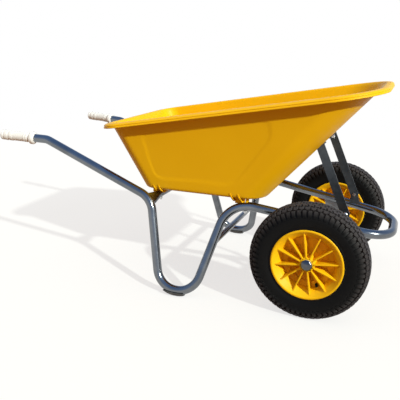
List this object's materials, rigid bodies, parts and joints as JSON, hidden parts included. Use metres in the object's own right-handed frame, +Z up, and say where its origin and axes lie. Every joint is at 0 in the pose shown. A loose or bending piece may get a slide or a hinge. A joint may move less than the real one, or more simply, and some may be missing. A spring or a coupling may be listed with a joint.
{
  "type": "two wheel wheelbarrow",
  "caption": "Garden wheelbarrow with a deep moulded tray bolted to a looped steel tube frame with legs and hand grips, on side-by-side pneumatic wheels that spin on a fixed axle.",
  "frame": {"origin": "on the ground, under the middle of the whole length and width", "axes": "+X forward from the grips to the front bow, +Y to the left, +Z up"},
  "size_m": [1.5022, 0.7478, 0.7592],
  "materials": {
    "tray_plastic": "moulded yellow polyethylene, soft satin",
    "tube_steel": "bright galvanised tube",
    "shoe_plastic": "dark grey moulded, scuffed",
    "grip_plastic": "white moulded, soft satin",
    "strut_steel": "dull dark zinc",
    "axle_steel": "plain zinc plated",
    "fastener_zinc": "bright zinc plated",
    "cap_chrome": "domed bright cap",
    "rim_plastic": "moulded yellow, satin",
    "tyre_rubber": "black, matte tread and satin side walls",
    "tube_rubber": "black butyl",
    "bush_plastic": "ivory nylon"
  },
  "bodies": {
    "frame": {"tray": "tray_plastic", "right_frame_tube": "tube_steel", "left_frame_tube": "tube_steel", "rear_cross_tube": "tube_steel", "leg_cross_bar": "tube_steel", "right_foot_shoe": "shoe_plastic", "left_foot_shoe": "shoe_plastic", "right_grip": "grip_plastic", "left_grip": "grip_plastic", "right_strut": "strut_steel", "left_strut": "strut_steel", "right_strut_lug": "strut_steel", "left_strut_lug": "strut_steel", "axle": "axle_steel", "right_axle_bracket": "axle_steel", "left_axle_bracket": "axle_steel", "axle_spacers": "axle_steel", "axle_washers": "fastener_zinc", "right_hub_cap": "cap_chrome", "left_hub_cap": "cap_chrome", "tray_bolts": "fastener_zinc", "tray_washers": "fastener_zinc", "tray_nuts": "fastener_zinc", "strut_top_bolts": "fastener_zinc", "strut_top_washers": "fastener_zinc", "strut_top_nuts": "fastener_zinc", "strut_lug_bolts": "fastener_zinc", "strut_lug_nuts": "fastener_zinc"},
    "right_wheel": {"right_rim": "rim_plastic", "right_tyre": "tyre_rubber", "right_inner_tube": "tube_rubber", "right_bushes": "bush_plastic"},
    "left_wheel": {"left_rim": "rim_plastic", "left_tyre": "tyre_rubber", "left_inner_tube": "tube_rubber", "left_bushes": "bush_plastic"}
  },
  "joints": [
    {"name": "right_wheel_spin", "type": "hinge", "parent": "frame", "child": "right_wheel", "pos_m": [0.48909, -0.3205, 0.2], "axis": [0, 1, 0], "continuous": true},
    {"name": "left_wheel_spin", "type": "hinge", "parent": "frame", "child": "left_wheel", "pos_m": [0.48909, 0.3205, 0.2], "axis": [0, 1, 0], "continuous": true}
  ]
}
